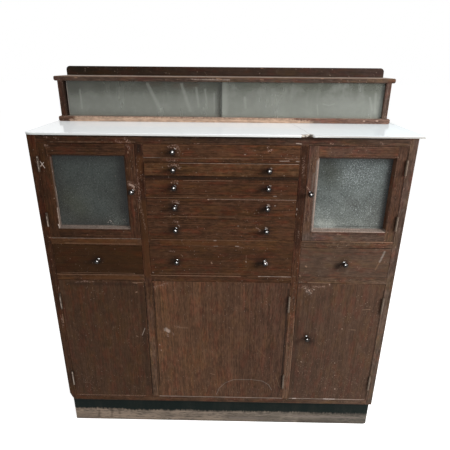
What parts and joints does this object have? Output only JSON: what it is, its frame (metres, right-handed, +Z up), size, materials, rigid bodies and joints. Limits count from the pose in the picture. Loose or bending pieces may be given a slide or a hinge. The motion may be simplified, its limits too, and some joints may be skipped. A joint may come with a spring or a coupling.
{
  "type": "surgery cabinet",
  "caption": "Low oak surgery cabinet with glazed and plain doors, graduated drawers, an opaque glass top and a gallery with sliding panes.",
  "frame": {"origin": "middle of the outline on the floor, under the cabinet", "axes": "+Z up, +Y from the front to the back, +X to the right seen from the front"},
  "size_m": [1.23, 0.4264, 1.364],
  "materials": {
    "stained_oak": "worn dark stain and old varnish",
    "bare_oak": "stain worn through to bare wood",
    "plinth_wood": "black paint over grey-brown bare wood",
    "inner_wood": "unstained, matt",
    "back_wood": "thin plywood, matt",
    "milk_glass": "opaque white, glossy",
    "pane_glass": "dusty, faintly green",
    "door_glass": "hammered obscure glass",
    "hinge_brass": "tarnished, worn bright on the knuckles",
    "knob_black": "glossy black"
  },
  "bodies": {
    "carcass": {"plinth": "plinth_wood", "side_left": "stained_oak", "side_right": "stained_oak", "dividers": "stained_oak", "bottom_board": "inner_wood", "sub_top": "inner_wood", "back_panel": "back_wood", "frame_rails": "stained_oak", "drawer_rails": "stained_oak", "drawer_carriers": "inner_wood", "door_stops": "inner_wood", "hinge_leaves": "hinge_brass", "milk_glass_top": "milk_glass", "gallery_base": "bare_oak", "gallery_ends": "stained_oak", "gallery_back": "back_wood", "gallery_shelf": "stained_oak", "gallery_upstand": "stained_oak"},
    "pane_left": {"pane_left": "pane_glass"},
    "pane_right": {"pane_right": "pane_glass"},
    "glazed_left": {"glazed_left_frame": "stained_oak", "glazed_left_glass": "door_glass", "glazed_left_hinges": "hinge_brass", "glazed_left_knob": "knob_black"},
    "glazed_right": {"glazed_right_frame": "stained_oak", "glazed_right_glass": "door_glass", "glazed_right_hinges": "hinge_brass", "glazed_right_knob": "knob_black"},
    "lower_left": {"lower_left_door": "stained_oak", "lower_left_hinges": "hinge_brass"},
    "lower_centre": {"lower_centre_door": "stained_oak", "lower_centre_hinges": "hinge_brass"},
    "lower_right": {"lower_right_door": "stained_oak", "lower_right_hinges": "hinge_brass", "lower_right_knob": "knob_black"},
    "drawer_1": {"drawer_1_front": "stained_oak", "drawer_1_box": "inner_wood", "drawer_1_knobs": "knob_black"},
    "drawer_2": {"drawer_2_front": "stained_oak", "drawer_2_box": "inner_wood", "drawer_2_knobs": "knob_black"},
    "drawer_3": {"drawer_3_front": "stained_oak", "drawer_3_box": "inner_wood", "drawer_3_knobs": "knob_black"},
    "drawer_4": {"drawer_4_front": "stained_oak", "drawer_4_box": "inner_wood", "drawer_4_knobs": "knob_black"},
    "drawer_5": {"drawer_5_front": "stained_oak", "drawer_5_box": "inner_wood", "drawer_5_knobs": "knob_black"},
    "drawer_6": {"drawer_6_front": "stained_oak", "drawer_6_box": "inner_wood", "drawer_6_knobs": "knob_black"},
    "drawer_left": {"drawer_left_front": "stained_oak", "drawer_left_box": "inner_wood", "drawer_left_knobs": "knob_black"},
    "drawer_right": {"drawer_right_front": "stained_oak", "drawer_right_box": "inner_wood", "drawer_right_knobs": "knob_black"}
  },
  "joints": [
    {"name": "glazed_left_hinge", "type": "hinge", "parent": "carcass", "child": "glazed_left", "pos_m": [-0.57925, -0.19075, 0.9855], "axis": [0, 0, -1], "range_deg": [0, 170]},
    {"name": "glazed_right_hinge", "type": "hinge", "parent": "carcass", "child": "glazed_right", "pos_m": [0.56925, -0.19075, 0.9855], "axis": [0, 0, 1], "range_deg": [0, 170]},
    {"name": "lower_left_hinge", "type": "hinge", "parent": "carcass", "child": "lower_left", "pos_m": [-0.57925, -0.19075, 0.405], "axis": [0, 0, -1], "range_deg": [0, 170]},
    {"name": "lower_centre_hinge", "type": "hinge", "parent": "carcass", "child": "lower_centre", "pos_m": [0.23825, -0.19075, 0.405], "axis": [0, 0, 1], "range_deg": [0, 155]},
    {"name": "lower_right_hinge", "type": "hinge", "parent": "carcass", "child": "lower_right", "pos_m": [0.56925, -0.19075, 0.405], "axis": [0, 0, 1], "range_deg": [0, 170]},
    {"name": "drawer_1_slide", "type": "slide", "parent": "carcass", "child": "drawer_1", "axis": [0, -1, 0], "range_m": [0, 0.28]},
    {"name": "drawer_2_slide", "type": "slide", "parent": "carcass", "child": "drawer_2", "axis": [0, -1, 0], "range_m": [0, 0.28]},
    {"name": "drawer_3_slide", "type": "slide", "parent": "carcass", "child": "drawer_3", "axis": [0, -1, 0], "range_m": [0, 0.28]},
    {"name": "drawer_4_slide", "type": "slide", "parent": "carcass", "child": "drawer_4", "axis": [0, -1, 0], "range_m": [0, 0.28]},
    {"name": "drawer_5_slide", "type": "slide", "parent": "carcass", "child": "drawer_5", "axis": [0, -1, 0], "range_m": [0, 0.28]},
    {"name": "drawer_6_slide", "type": "slide", "parent": "carcass", "child": "drawer_6", "axis": [0, -1, 0], "range_m": [0, 0.28]},
    {"name": "drawer_left_slide", "type": "slide", "parent": "carcass", "child": "drawer_left", "axis": [0, -1, 0], "range_m": [0, 0.28]},
    {"name": "drawer_right_slide", "type": "slide", "parent": "carcass", "child": "drawer_right", "axis": [0, -1, 0], "range_m": [0, 0.28]},
    {"name": "pane_left_slide", "type": "slide", "parent": "carcass", "child": "pane_left", "axis": [1, 0, 0], "range_m": [-0.004, 0.56]},
    {"name": "pane_right_slide", "type": "slide", "parent": "carcass", "child": "pane_right", "axis": [1, 0, 0], "range_m": [-0.564, 0]}
  ]
}
